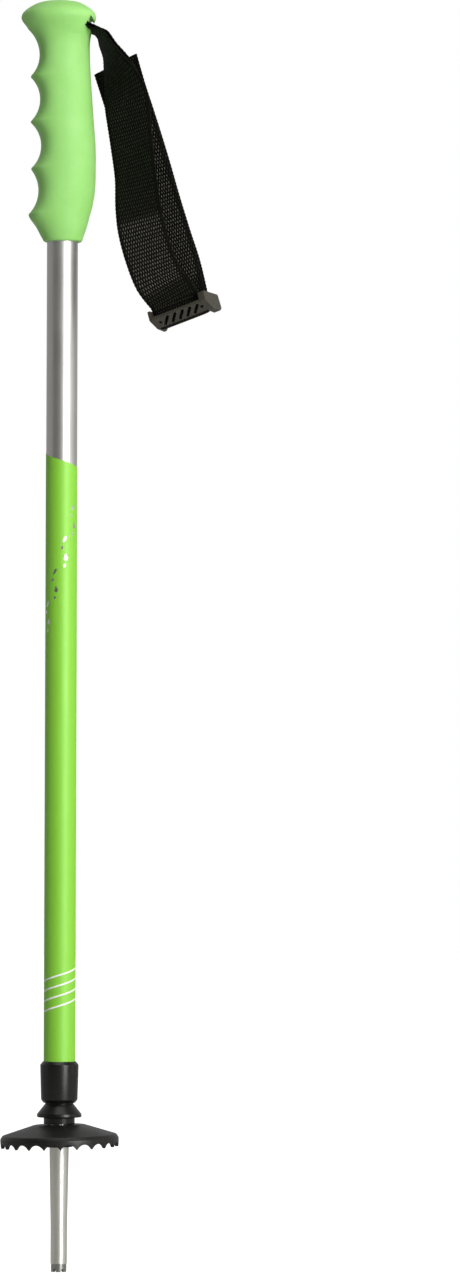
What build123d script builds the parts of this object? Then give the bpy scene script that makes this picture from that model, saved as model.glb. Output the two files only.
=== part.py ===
from build123d import *

import os
from math import cos, radians, sin

# A junior alpine ski pole, upright, in millimetres. The origin is the end of
# the tip on the shaft's axis, +Z runs up the shaft, +X is the side that the
# wrist strap hangs on, and -X is the side that the fingers close round.

os.makedirs("parts", exist_ok=True)

# ---- Driving dimensions -------------------------------------------------------

# shaft
TUBE_OD = 16.0
TUBE_WALL = 1.2
TUBE_BOTTOM = 90.0
TUBE_TOP = 634.0
FIT = 0.02  # radial clearance of pieces that are pressed or glued together
FILM = 0.15
FILM_BOTTOM = 108.2
FILM_FRONT_TOP = 417.5  # height of the film's slanted edge on the axis
FILM_SLOPE = 0.5  # fall of that edge per mm towards +X

# tip end
STEM_R = 5.0
STEM_TIP_R = 4.25
STEM_BOTTOM = 4.2
STEM_STRAIGHT = 20.0
STEM_TOP = 130.0
CROWN_R = 4.0
CROWN_BORE_R = 2.5
CROWN_NOTCHES = 6
SPIGOT_R = 2.5
SPIGOT_LENGTH = 9.0

# collar between the shaft and the stem
COLLAR_TOP = 107.9
COLLAR_R_TOP = 9.9
COLLAR_R_LOW = 9.4
COLLAR_BODY_BOTTOM = 88.2
COLLAR_WAIST_R = 7.0
FLANGE_TOP = 86.5
FLANGE_R = 11.6
FLANGE_EDGE_TOP = 80.8
FLANGE_EDGE_BOTTOM = 79.3
COLLAR_NECK_R = 8.0
COLLAR_BOTTOM = 75.8

# snow basket
BASKET_R = 30.5
BASKET_PLATEAU_R = 13.0
BASKET_TOP = 75.4
BASKET_RIM_Z = 69.6
BASKET_WALL = 2.0
BASKET_TEETH = 22
TOOTH_TIP_Z = 63.6
TOOTH_VALLEY_Z = 66.4
TOOTH_PHASE = -87.3  # direction of one tooth, in degrees from +X
BASKET_BOSS_R = 6.7
BASKET_BORE_R = 5.3
BASKET_BOSS_BOTTOM = 63.9
BASKET_TILT = 1.3

# grip
GRIP_BOTTOM = 531.0
GRIP_LEVELS = [  # height, front edge, back edge, half width
    (531.0, -8.9, 9.3, 9.1),
    (533.0, -10.6, 10.8, 10.4),
    (538.5, -14.2, 12.8, 12.3),
    (544.2, -17.4, 14.3, 13.2),
    (556.0, -17.1, 16.5, 13.9),
    (568.0, -16.5, 17.1, 14.0),
    (592.0, -16.5, 16.0, 13.8),
    (616.0, -16.6, 14.3, 13.2),
    (632.0, -17.6, 13.8, 13.0),
    (640.0, -19.0, 14.8, 15.2),
    (644.0, -20.4, 15.6, 17.4),
    (647.6, -21.7, 16.8, 18.9),
    (650.2, -20.6, 16.2, 18.4),
    (652.6, -17.4, 13.3, 15.9),
    (654.6, -13.5, 10.2, 12.6),
    (656.0, -8.0, 5.0, 7.2),
]
GRIP_REACH = 20.0  # wider than the grip is to either side
FINGER_PITCH = 24.0
FINGER_RIDGE_LOW = 544.2
FINGER_FLOORS = [-12.6, -11.2, -11.8, -12.2]  # front edge in each, from the lowest
FINGER_R = 17.9
PLUG_HEAD = 1.8  # of the shaft's plug, above the tube
PLUG_LENGTH = 12.0
NOTCH = [(14.4, 647.8), (11.9, 642.4), (14.9, 640.2), (20.0, 637.0), (20.0, 645.6), (15.4, 645.6)]

# webbing of the wrist strap
WEB_WIDTH = 28.0
WEB = 1.5
LAYER_GAP = 0.1
STRAP_GAP = 0.15  # from the swing axis to the start of the two strands
ROOT_WIDTH = 24.0  # where the strap is pinched in the grip's slot
ROOT_CUP_R = 2.5  # the doubled end is hollowed round that axis, to clear the strands

# anchor of the strap in the grip's head
ANCHOR_R = 2.0
ANCHOR_LENGTH = 26.0
SLOT_MOUTH = (12.6, 644.0)
SLOT_FALL = 28.0  # degrees that the slot falls towards its mouth
ANCHOR_DEPTH = 10.5
SLOT_GAP = 0.25  # round the doubled webbing and its pin
SLOT_OVERRUN = 6.0  # the slot's cut runs past its mouth and its pin together
STRAP_PIVOT_OUT = 5.0  # along the slot, from the mouth to the strap's swing axis

# buckle
BUCKLE_ORIGIN = (57.0, -8.0, 499.3)
BUCKLE_LEAN = 18.7  # degrees that the loop hangs off the vertical
BUCKLE_TURN = 26.0  # degrees that the loop is turned about its own length
BUCKLE_NOD = 12.0  # degrees that the buckle's rear hangs lower
BUCKLE_ENDS = ((-14.25, -15.35), (15.1, 18.6))  # inner and outer faces of its end walls
BUCKLE_ROOTS = 0.5  # the plate and the bars run this far into the end walls
BUCKLE_CORNER_R = 0.9
BAR_AT = (10.2, -4.4)  # rearward and upward from the buckle's front top edge
BAR_R = 1.5
EYE_R = 3.0
EYE_TOP = 3.3  # height of the eye's stitched end above the buckle's front top edge
WRAP_R = 3.85  # to the middle of the webbing's thickness

Y_AXIS = Vector(0, 1, 0)


# ---- Shaft --------------------------------------------------------------------

with BuildPart() as shaft_tube:
    with BuildSketch(Plane.XY.offset(TUBE_BOTTOM)):
        Circle(TUBE_OD / 2)
        Circle(TUBE_OD / 2 - TUBE_WALL, mode=Mode.SUBTRACT)
    extrude(amount=TUBE_TOP - TUBE_BOTTOM)
shaft_tube.part.label = "shaft_tube"
export_step(shaft_tube.part, "parts/shaft_tube.step")

# The printed film is a thin sleeve on the tube, and its upper edge is slanted.
with BuildPart() as shaft_film:
    with BuildSketch(Plane.XY.offset(FILM_BOTTOM)):
        Circle(TUBE_OD / 2 + FIT + FILM)
        Circle(TUBE_OD / 2 + FIT, mode=Mode.SUBTRACT)
    extrude(amount=FILM_FRONT_TOP - FILM_BOTTOM + TUBE_OD)
    edge_normal = Vector(FILM_SLOPE, 0, 1)
    split(bisect_by=Plane((0, 0, FILM_FRONT_TOP), z_dir=edge_normal), keep=Keep.BOTTOM)
shaft_film.part.label = "shaft_film"
export_step(shaft_film.part, "parts/shaft_film.step")

# A plastic plug closes the tube's top, so that its edge can't cut into the grip.
with BuildPart() as shaft_plug:
    with BuildSketch(Plane.XY.offset(TUBE_TOP - PLUG_LENGTH)):
        Circle(TUBE_OD / 2 - TUBE_WALL - FIT)
    extrude(amount=PLUG_LENGTH)
    with BuildSketch(Plane.XY.offset(TUBE_TOP)):
        Circle(TUBE_OD / 2 - 0.2)
    extrude(amount=PLUG_HEAD)
    chamfer(shaft_plug.edges().filter_by(GeomType.CIRCLE).sort_by(Axis.Z)[0], 0.8)
shaft_plug.part.label = "shaft_plug"
export_step(shaft_plug.part, "parts/shaft_plug.step")


# ---- Tip end ------------------------------------------------------------------

with BuildPart() as stem:
    with BuildSketch(Plane.XZ):
        with BuildLine():
            Polyline(
                (0, STEM_BOTTOM),
                (STEM_TIP_R, STEM_BOTTOM),
                (STEM_TIP_R, STEM_BOTTOM + STEM_STRAIGHT),
                (STEM_R, TOOTH_TIP_Z),
                (STEM_R, STEM_TOP - 1),
                (STEM_R - 1, STEM_TOP),
                (0, STEM_TOP),
                close=True,
            )
        make_face()
    revolve(axis=Axis.Z)
    with BuildSketch(Plane.XY.offset(STEM_BOTTOM)):
        Circle(SPIGOT_R + FIT)
    extrude(amount=SPIGOT_LENGTH + 0.3, mode=Mode.SUBTRACT)
stem.part.label = "stem"
export_step(stem.part, "parts/stem.step")

# The crown is a hardened ring with teeth that bite into ice, on a pressed spigot.
with BuildPart() as crown_tip:
    with BuildSketch(Plane.XY):
        Circle(CROWN_R)
    extrude(amount=STEM_BOTTOM)
    with BuildSketch(Plane.XY.offset(STEM_BOTTOM)):
        Circle(SPIGOT_R)
    extrude(amount=SPIGOT_LENGTH)
    with BuildSketch(Plane.XY):
        Circle(CROWN_BORE_R)
    extrude(amount=2.6, mode=Mode.SUBTRACT, taper=12)
    with BuildSketch(Plane.XY):
        with PolarLocations(CROWN_R, CROWN_NOTCHES):
            RectangleRounded(3.4, 1.5, 0.6)
    extrude(amount=1.5, mode=Mode.SUBTRACT)
    chamfer(crown_tip.edges().filter_by(GeomType.CIRCLE).sort_by(Axis.Z)[-1], 0.5)
crown_tip.part.label = "crown_tip"
export_step(crown_tip.part, "parts/crown_tip.step")

# The bush fills the tube round the stem and carries it.
with BuildPart() as stem_bush:
    with BuildSketch(Plane.XY.offset(TUBE_BOTTOM + 0.1)):
        Circle(TUBE_OD / 2 - TUBE_WALL - FIT)
        Circle(STEM_R + FIT, mode=Mode.SUBTRACT)
    extrude(amount=36)
    chamfer(stem_bush.edges().filter_by(GeomType.CIRCLE).group_by(Axis.Z)[-1], 0.5)
stem_bush.part.label = "stem_bush"
export_step(stem_bush.part, "parts/stem_bush.step")

with BuildPart() as collar:
    with BuildSketch(Plane.XZ):
        with BuildLine():
            outside = Polyline(
                (TUBE_OD / 2 + FIT, COLLAR_TOP),
                (TUBE_OD / 2 + 0.4, COLLAR_TOP),
                (COLLAR_R_TOP, COLLAR_TOP - 1.8),
                (COLLAR_R_LOW, COLLAR_BODY_BOTTOM),
            )
            shoulder = ThreePointArc(
                outside @ 1,
                (COLLAR_R_LOW - 0.5, COLLAR_BODY_BOTTOM - 1.0),
                (COLLAR_R_LOW - 1.6, COLLAR_BODY_BOTTOM - 1.5),
            )
            waist = Line(shoulder @ 1, (COLLAR_WAIST_R, FLANGE_TOP))
            flange = Polyline(
                waist @ 1,
                (FLANGE_R, FLANGE_EDGE_TOP),
                (FLANGE_R, FLANGE_EDGE_BOTTOM),
                (COLLAR_NECK_R, FLANGE_EDGE_BOTTOM),
                (COLLAR_NECK_R, COLLAR_BOTTOM),
                (STEM_R + FIT, COLLAR_BOTTOM),
                (STEM_R + FIT, TUBE_BOTTOM),
                (TUBE_OD / 2 + FIT, TUBE_BOTTOM),
                outside @ 0,
            )
        make_face()
    revolve(axis=Axis.Z)
collar.part.label = "collar"
export_step(collar.part, "parts/collar.step")

# The basket is a shallow cone with a toothed skirt and a boss round the stem.
scallop_chord = 2 * BASKET_R * sin(radians(180 / BASKET_TEETH))
scallop_depth = TOOTH_VALLEY_Z - TOOTH_TIP_Z
scallop_r = (scallop_chord**2 / 4 + scallop_depth**2) / (2 * scallop_depth)
with BuildPart() as basket:
    with BuildSketch(Plane.XZ):
        with BuildLine():
            Polyline(
                (BASKET_BORE_R, BASKET_TOP),
                (BASKET_PLATEAU_R, BASKET_TOP),
                (BASKET_R - 0.6, BASKET_RIM_Z + 0.4),
                (BASKET_R, BASKET_RIM_Z - 0.6),
                (BASKET_R, TOOTH_TIP_Z),
                (BASKET_R - BASKET_WALL, TOOTH_TIP_Z),
                (BASKET_R - BASKET_WALL, BASKET_RIM_Z - 1.6),
                (BASKET_PLATEAU_R, BASKET_TOP - BASKET_WALL),
                (BASKET_BOSS_R, BASKET_TOP - BASKET_WALL),
                (BASKET_BOSS_R, BASKET_BOSS_BOTTOM),
                (BASKET_BORE_R, BASKET_BOSS_BOTTOM),
                close=True,
            )
        make_face()
    revolve(axis=Axis.Z)
    with Locations((0, 0, TOOTH_VALLEY_Z - scallop_r)):
        with PolarLocations(BASKET_R, BASKET_TEETH, TOOTH_PHASE + 180 / BASKET_TEETH):
            Cylinder(scallop_r, 10, rotation=(0, 90, 0), mode=Mode.SUBTRACT)
tilt_axis = Axis((0, 0, BASKET_TOP), (0, 1, 0))
tilted_basket = basket.part.rotate(tilt_axis, -BASKET_TILT)
tilted_basket.label = "basket"
export_step(tilted_basket, "parts/basket.step")


# ---- Grip ---------------------------------------------------------------------

slot_out = Vector(cos(radians(SLOT_FALL)), 0, -sin(radians(SLOT_FALL)))
slot_mouth = Vector(SLOT_MOUTH[0], 0, SLOT_MOUTH[1])
anchor = slot_mouth - slot_out * ANCHOR_DEPTH
strap_pivot = slot_mouth + slot_out * STRAP_PIVOT_OUT
# Seen along +Y, x runs out of the slot and y runs up across the webbing.
slot_plane = Plane(origin=anchor, x_dir=slot_out, z_dir=-Y_AXIS)


def oval(height, front, back, half_width):
    """One level outline of the grip, as a sketch on its own plane."""
    with BuildSketch(Plane.XY.offset(height)) as level:
        with Locations(((front + back) / 2, 0)):
            Ellipse((back - front) / 2, half_width)
    return level.sketch


with BuildPart() as grip_body:
    loft([oval(*level) for level in GRIP_LEVELS], ruled=True)
    # finger grooves across the front
    with BuildSketch(Plane.XZ):
        for i, floor in enumerate(FINGER_FLOORS):
            groove_z = FINGER_RIDGE_LOW + FINGER_PITCH * (i + 0.5)
            with Locations((floor - FINGER_R, groove_z)):
                Circle(FINGER_R)
    extrude(amount=GRIP_REACH, both=True, mode=Mode.SUBTRACT)
    # bore for the shaft
    with BuildSketch(Plane.XY.offset(GRIP_BOTTOM)):
        Circle(TUBE_OD / 2 + FIT)
    extrude(amount=TUBE_TOP + PLUG_HEAD + FIT - GRIP_BOTTOM, mode=Mode.SUBTRACT)
    # slot and pocket for the doubled webbing and its anchor pin
    with BuildSketch(slot_plane):
        Circle(ANCHOR_R + WEB + SLOT_GAP)
        with Locations((ANCHOR_DEPTH / 2, 0)):
            Rectangle(ANCHOR_DEPTH + SLOT_OVERRUN, 2 * (WEB + SLOT_GAP))
    extrude(amount=ANCHOR_LENGTH / 2 + SLOT_GAP, both=True, mode=Mode.SUBTRACT)
    # notch that opens the slot to the rear and to both sides
    with BuildSketch(Plane.XZ):
        with BuildLine():
            Polyline(*NOTCH, close=True)
        make_face()
    extrude(amount=GRIP_REACH, both=True, mode=Mode.SUBTRACT)
grip_body.part.label = "grip_body"
export_step(grip_body.part, "parts/grip_body.step")

with BuildPart() as strap_pin:
    with BuildSketch(slot_plane):
        Circle(ANCHOR_R)
    extrude(amount=ANCHOR_LENGTH / 2, both=True)
    chamfer(strap_pin.edges().filter_by(GeomType.CIRCLE), 0.4)
strap_pin.part.label = "strap_pin"
export_step(strap_pin.part, "parts/strap_pin.step")


# ---- Buckle -------------------------------------------------------------------

lean = radians(BUCKLE_LEAN)
turn = radians(BUCKLE_TURN)
nod = radians(BUCKLE_NOD)
hang = Vector(sin(lean), 0, -cos(lean))
across = Vector(cos(lean), 0, sin(lean))
buckle_long = across * cos(turn) - Y_AXIS * sin(turn)
to_front = across * -sin(turn) - Y_AXIS * cos(turn)
to_rear = hang * sin(nod) - to_front * cos(nod)
# Along the buckle's bars: x runs rearward and y runs up.
buckle_plane = Plane(origin=BUCKLE_ORIGIN, x_dir=to_rear, z_dir=buckle_long)
PLATE = [(0.2, -3.9), (6.2, -7.3), (7.1, -8.6), (0.4, -5.3)]
END_WALL = [(0, 0), (16.0, 0), (16.9, -7.4), (14.6, -9.0), (7.3, -8.6), (0.2, -5.2)]
REAR_RAIL_AT = (16.1, -5.2)
# place along the plate, and share of the full length
SLITS = [(-11.1, 0.3), (-7.4, 1), (-2.9, 1), (1.6, 1), (6.1, 1), (10.6, 1), (14.0, 0.3)]
SLIT_LENGTH = 8.4
SLIT_WIDTH = 1.6
SLIT_LEAN = 49.0

plate_low = buckle_plane.from_local_coords(Vector(*PLATE[2]))
plate_high = buckle_plane.from_local_coords(Vector(*PLATE[3]))
plate_up = (plate_high - plate_low).normalized()
plate_plane = Plane(
    origin=(plate_low + plate_high) * 0.5,
    x_dir=buckle_long,
    z_dir=buckle_long.cross(plate_up),
)
with BuildPart() as buckle_frame:
    with BuildSketch(buckle_plane.offset(BUCKLE_ENDS[0][0] - BUCKLE_ROOTS)):
        with BuildLine():
            Polyline(*PLATE, close=True)
        make_face()
        with Locations(REAR_RAIL_AT):
            RectangleRounded(1.0, 2.6, 0.45)
        with Locations(BAR_AT):
            Circle(BAR_R)
    extrude(amount=BUCKLE_ENDS[1][0] - BUCKLE_ENDS[0][0] + 2 * BUCKLE_ROOTS)
    for inner, outer in BUCKLE_ENDS:
        with BuildSketch(buckle_plane.offset(inner)) as wall:
            with BuildLine():
                Polyline(*END_WALL, close=True)
            make_face()
            fillet(wall.vertices(), BUCKLE_CORNER_R)
        extrude(amount=outer - inner)
    with BuildSketch(plate_plane):
        for along, share in SLITS:
            with Locations(Location((along, 0), SLIT_LEAN)):
                SlotOverall(max(SLIT_LENGTH * share, SLIT_WIDTH * 1.3), SLIT_WIDTH)
    extrude(amount=4, both=True, mode=Mode.SUBTRACT)
buckle_frame.part.label = "buckle_frame"
export_step(buckle_frame.part, "parts/buckle_frame.step")


# ---- Webbing ------------------------------------------------------------------

# The strap is one length of webbing. It is doubled round the anchor pin. One
# strand runs down, round the buckle's bar and up again as the free tail, and the
# other one ends in an eye that is sewn round the same bar.

with BuildPart() as strap_root:
    with BuildSketch(slot_plane):
        Circle(ANCHOR_R + WEB)
        with Locations(((ANCHOR_DEPTH + STRAP_PIVOT_OUT) / 2, 0)):
            Rectangle(ANCHOR_DEPTH + STRAP_PIVOT_OUT, 2 * WEB + LAYER_GAP)
        Circle(ANCHOR_R + FIT, mode=Mode.SUBTRACT)
        with Locations((ANCHOR_DEPTH + STRAP_PIVOT_OUT, 0)):
            Circle(ROOT_CUP_R, mode=Mode.SUBTRACT)
    extrude(amount=ROOT_WIDTH / 2, both=True)
strap_root.part.label = "strap_root"
export_step(strap_root.part, "parts/strap_root.step")


def webbing_plane(before, at, after, turned):
    """The plane across a strand: x along its width, z down its length."""
    along = (after - before).normalized()
    level = along.cross(Y_AXIS).normalized()
    away = level.cross(along).normalized()
    width = level * cos(radians(turned)) - away * sin(radians(turned))
    return Plane(origin=at, x_dir=width, z_dir=along)


def strand(start, route, end):
    """A solid strip from start, a list of no or one plane, through a route's stops."""
    places = [Vector(*stop[:3]) for stop in route]
    after = places[1:] + [end.origin]
    before = [plane.origin for plane in start] + places
    planes = list(start)
    for i, stop in enumerate(route):
        planes.append(webbing_plane(before[max(i + len(start) - 1, 0)], places[i], after[i], stop[3]))
    with BuildPart() as strip:
        for plane in planes + [end]:
            with BuildSketch(plane):
                Rectangle(WEB_WIDTH, WEB)
        loft(ruled=True)
    return strip.part


# x, y, z, and the degrees that the webbing is turned from facing -Y
FRONT_ROUTE = [
    (19.2, -0.4, 637.6, 80),
    (22.9, -1.3, 630.9, 72),
    (27.1, -2.4, 621.1, 61),
    (30.5, -3.6, 613.1, 47),
    (33.0, -5.0, 604.3, 35),
    (35.6, -7.6, 584.1, 39),
    (38.0, -9.8, 565.1, 41),
    (39.3, -11.2, 549.4, 35),
    (41.2, -12.0, 537.5, 30),
    (45.1, -11.8, 523.2, 29),
    (50.4, -9.4, 510.7, 28),
]
REAR_ROUTE = [
    (20.9, 0.3, 638.9, 80),
    (24.6, 0.5, 631.8, 72),
    (28.8, 0.9, 622.0, 60),
    (31.6, 2.4, 612.2, 45),
    (34.0, 3.4, 602.0, 36),
    (38.8, 6.0, 584.1, 34),
    (44.3, 8.0, 565.1, 34),
    (49.2, 9.2, 549.4, 33),
    (53.0, 9.4, 537.5, 31),
    (57.0, 8.0, 523.2, 29),
    (59.8, 5.4, 511.0, 27),
]
TAIL_ROUTE = [
    (26.9, 12.4, 625.3, 32),
    (31.9, 10.0, 609.0, 34),
    (36.6, 8.9, 594.5, 34),
    (42.6, 10.2, 575.2, 34),
    (48.7, 12.1, 553.8, 33),
    (54.1, 12.5, 535.7, 31),
    (59.5, 10.7, 517.7, 28),
]


def start_plane(layer):
    """Where a strand begins, in the lower (-1) or the upper (1) layer."""
    up_across = Vector(-slot_out.Z, 0, slot_out.X)
    origin = strap_pivot + slot_out * STRAP_GAP + up_across * (layer * (WEB + LAYER_GAP) / 2)
    return Plane(origin=origin, x_dir=-Y_AXIS, z_dir=slot_out)


def end_plane(rearward, upward, fall):
    """Where a strand ends in the buckle, running down at that angle from level."""
    along = to_rear * cos(radians(fall)) - buckle_plane.y_dir * sin(radians(fall))
    origin = buckle_plane.from_local_coords(Vector(rearward, upward, 0))
    return Plane(origin=origin, x_dir=buckle_long, z_dir=along)


WRAP_START = (2.7, 1.9)
WRAP_TURN_START = (6.8, -6.2)
WRAP_TURN_END = (14.05, -4.4)
WRAP_END = 0.85
WRAP_FALL = 63.2  # degrees that the front strand falls rearward into the wrap
REAR_END = (11.2, 3.35)
TAIL_START = (14.2, 1.6)

for name, start, route, end in (
    ("strap_front", [start_plane(-1)], FRONT_ROUTE, end_plane(*WRAP_START, WRAP_FALL)),
    ("strap_rear", [start_plane(1)], REAR_ROUTE, end_plane(*REAR_END, 90)),
    ("strap_tail", [], TAIL_ROUTE, end_plane(*TAIL_START, 90)),
):
    piece = strand(start, route, end)
    piece.label = name
    export_step(piece, f"parts/{name}.step")

# The sewn eye is a ring round the bar with its two layers stitched above it.
with BuildPart() as strap_eye:
    with BuildSketch(buckle_plane):
        with Locations(BAR_AT):
            Circle(EYE_R)
        with BuildLine():
            Polyline(
                (BAR_AT[0] - 1.4, BAR_AT[1]),
                (BAR_AT[0] - 0.5, EYE_TOP),
                (BAR_AT[0] + 2.5, EYE_TOP),
                (BAR_AT[0] + 1.5, BAR_AT[1]),
                close=True,
            )
        make_face()
        with Locations(BAR_AT):
            Circle(BAR_R + 0.06, mode=Mode.SUBTRACT)
    extrude(amount=WEB_WIDTH / 2, both=True)
strap_eye.part.label = "strap_eye"
export_step(strap_eye.part, "parts/strap_eye.step")

# The wrap passes under the eye, from the front strand to the tail.
with BuildPart() as strap_wrap:
    with BuildSketch(buckle_plane):
        with BuildLine():
            down = Line(WRAP_START, WRAP_TURN_START)
            under = ThreePointArc(down @ 1, (BAR_AT[0] + 0.4, BAR_AT[1] - WRAP_R), WRAP_TURN_END)
            Line(under @ 1, (TAIL_START[0], WRAP_END))
        trace(line_width=WEB)
    extrude(amount=WEB_WIDTH / 2, both=True)
strap_wrap.part.label = "strap_wrap"
export_step(strap_wrap.part, "parts/strap_wrap.step")
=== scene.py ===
from math import cos, pi, radians, sin

import bmesh
import bpy
import numpy as np
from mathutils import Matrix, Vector


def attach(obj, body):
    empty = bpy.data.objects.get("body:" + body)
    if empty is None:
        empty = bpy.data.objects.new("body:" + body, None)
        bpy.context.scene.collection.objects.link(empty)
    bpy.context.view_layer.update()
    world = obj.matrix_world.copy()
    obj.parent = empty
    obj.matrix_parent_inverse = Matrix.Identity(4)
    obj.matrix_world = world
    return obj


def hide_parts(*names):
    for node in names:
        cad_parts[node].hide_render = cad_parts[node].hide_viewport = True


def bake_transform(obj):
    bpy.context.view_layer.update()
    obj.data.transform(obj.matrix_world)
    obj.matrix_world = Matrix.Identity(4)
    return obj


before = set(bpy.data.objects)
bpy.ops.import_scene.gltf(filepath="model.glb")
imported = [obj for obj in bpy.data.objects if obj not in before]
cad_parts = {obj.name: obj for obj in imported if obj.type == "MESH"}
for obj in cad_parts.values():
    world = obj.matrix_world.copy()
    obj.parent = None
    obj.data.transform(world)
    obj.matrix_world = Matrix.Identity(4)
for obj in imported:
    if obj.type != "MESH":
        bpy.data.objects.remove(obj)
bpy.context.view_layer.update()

MM = 0.001


# ---- Camera -------------------------------------------------------------------

CAMERA_AT = (0.0875, -2.70, 0.2356)
CAMERA_PITCH = 1.90  # degrees up from level
CAMERA_ROLL = -0.15
VIEW_HEIGHT = 0.6605  # of the upright plane through the shaft


def make_camera():
    """A long lens, level with the lower shaft and a little right of the pole."""
    data = bpy.data.cameras.new("camera")
    data.sensor_width = 36.0
    data.lens = 36.0 * -CAMERA_AT[1] / VIEW_HEIGHT
    data.clip_start, data.clip_end = 0.01, 100.0
    camera = bpy.data.objects.new("camera", data)
    camera.location = CAMERA_AT
    camera.rotation_euler = (radians(90 + CAMERA_PITCH), radians(CAMERA_ROLL), 0)
    bpy.context.collection.objects.link(camera)
    bpy.context.scene.camera = camera


make_camera()


# ---- Shader helpers -----------------------------------------------------------


def set_range(node, low, high, to_low, to_high):
    """Sets a Map Range node to carry low..high over to to_low..to_high."""
    sockets = ("From Min", "From Max", "To Min", "To Max")
    for socket, number in zip(sockets, (low, high, to_low, to_high)):
        node.inputs[socket].default_value = number


class Surface:
    """A material with a Principled shader, and short calls for the nodes before it."""

    def __init__(self, name, colour, roughness, **sockets):
        self.material = bpy.data.materials.new(name)
        self.material.use_nodes = True
        self.tree = self.material.node_tree
        self.shader = self.tree.nodes["Principled BSDF"]
        self.shader.inputs["Base Color"].default_value = (*colour, 1)
        self.shader.inputs["Roughness"].default_value = roughness
        for socket, value in sockets.items():
            self.shader.inputs[socket.replace("_", " ")].default_value = value
        self.place = self.add("ShaderNodeTexCoord").outputs["Object"]

    def add(self, kind, settings=(), **inputs):
        """A new node; an input is a value or another node's output, by its name or as i0, i1."""
        node = self.tree.nodes.new(kind)
        for key, value in dict(settings).items():
            setattr(node, key, value)
        for key, value in inputs.items():
            socket = int(key[1:]) if key[1:].isdigit() else key.replace("_", " ")
            self.feed(node.inputs[socket], value)
        return node

    def feed(self, socket, value):
        if isinstance(value, bpy.types.NodeSocket):
            self.tree.links.new(value, socket)
        else:
            socket.default_value = value

    def maths(self, operation, a, b=0.0):
        node = self.add("ShaderNodeMath", {"operation": operation}, i0=a, i1=b)
        return node.outputs[0]

    def stretched(self, scale):
        """The object's coordinates, scaled by that much along X, Y and Z."""
        node = self.add("ShaderNodeMapping", Vector=self.place, Scale=scale)
        return node.outputs[0]

    def noise(self, scale, detail=2.0, roughness=0.5, along=(1, 1, 1)):
        node = self.add(
            "ShaderNodeTexNoise",
            Vector=self.stretched(along),
            Scale=scale,
            Detail=detail,
            Roughness=roughness,
        )
        return node.outputs["Fac"]

    def remap(self, value, low, high, to_low, to_high):
        node = self.add("ShaderNodeMapRange", Value=value)
        set_range(node, low, high, to_low, to_high)
        return node.outputs["Result"]

    def blend(self, share, colour_a, colour_b):
        """From colour_a to colour_b as share goes from 0 to 1."""
        node = self.add("ShaderNodeMix", {"data_type": "RGBA"})
        self.feed(node.inputs["Factor"], share)
        for socket, colour in ((node.inputs[6], colour_a), (node.inputs[7], colour_b)):
            self.feed(socket, colour if isinstance(colour, bpy.types.NodeSocket) else (*colour, 1))
        return node.outputs[2]

    def colour(self, value):
        self.feed(self.shader.inputs["Base Color"], value)

    def roughness(self, value):
        self.feed(self.shader.inputs["Roughness"], value)

    def bump(self, *layers):
        """Height layers, each (value, height in mm), from the broadest to the finest."""
        normal = None
        for value, height in layers:
            node = self.add("ShaderNodeBump", Height=value, Strength=1.0, Distance=height * MM)
            if normal is not None:
                self.feed(node.inputs["Normal"], normal)
            normal = node.outputs["Normal"]
        self.feed(self.shader.inputs["Normal"], normal)


def moulded_plastic(name, dark, light, roughness=0.5, grain=0.04):
    """Black plastic with the fine grain that a spark-eroded mould leaves."""
    s = Surface(name, dark, roughness, Specular_IOR_Level=0.45)
    broad = s.noise(60, 3)
    fine = s.noise(1500, 3, 0.65)
    s.colour(s.blend(s.remap(fine, 0.35, 0.75, 0, 1), dark, light))
    s.roughness(s.remap(broad, 0.3, 0.7, roughness - 0.05, roughness + 0.06))
    s.bump((broad, 0.03), (fine, grain))
    return s.material


def rubber_green():
    """Matte soft rubber: even in colour, with a very fine bloom and handling marks."""
    s = Surface("grip_rubber", (0.34, 0.72, 0.19), 0.55, Specular_IOR_Level=0.35)
    cloud = s.noise(45, 4, 0.6)
    fine = s.noise(1800, 2)
    s.colour(s.blend(s.remap(cloud, 0.35, 0.7, 0, 1), (0.36, 0.74, 0.21), (0.31, 0.69, 0.165)))
    s.roughness(s.remap(cloud, 0.3, 0.7, 0.5, 0.62))
    s.bump((cloud, 0.06), (fine, 0.012))
    s.shader.inputs["Subsurface Weight"].default_value = 0.12
    s.shader.inputs["Subsurface Radius"].default_value = (0.0022, 0.003, 0.001)
    return s.material


def drawn_aluminium():
    """Satin tube with fine lines along its length."""
    s = Surface("satin_aluminium", (0.66, 0.65, 0.62), 0.42, Metallic=1.0)
    lines = s.noise(900, 3, 0.6, along=(1, 1, 0.012))
    smudge = s.noise(30, 3)
    s.roughness(s.remap(smudge, 0.3, 0.7, 0.40, 0.48))
    s.colour(s.blend(lines, (0.60, 0.59, 0.56), (0.72, 0.71, 0.68)))
    s.bump((lines, 0.006))
    return s.material


def green_film():
    """Metallic lime film: a clear coat over fine flake."""
    s = Surface("green_film", (0.24, 0.66, 0.025), 0.55, Metallic=0.1, Specular_IOR_Level=1.0)
    flake = s.noise(5200, 1)
    cloud = s.noise(22, 3)
    s.colour(s.blend(s.remap(flake, 0.3, 0.7, 0, 1), (0.23, 0.65, 0.022), (0.28, 0.71, 0.032)))
    s.roughness(s.remap(cloud, 0.3, 0.7, 0.52, 0.58))
    s.bump((s.noise(700, 2, along=(1, 1, 0.05)), 0.004), (flake, 0.001))
    return s.material


def turned_metal(name, dark, light, roughness):
    """Metal with fine turning marks round its axis, and slight handling marks."""
    s = Surface(name, light, roughness, Metallic=1.0)
    rings = s.noise(1400, 3, 0.6, along=(0.002, 0.002, 1))
    handled = s.noise(60, 3)
    s.colour(s.blend(s.remap(rings, 0.3, 0.7, 0, 1), light, dark))
    s.roughness(s.remap(handled, 0.3, 0.7, roughness - 0.03, roughness + 0.05))
    s.bump((rings, 0.004))
    return s.material


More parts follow.
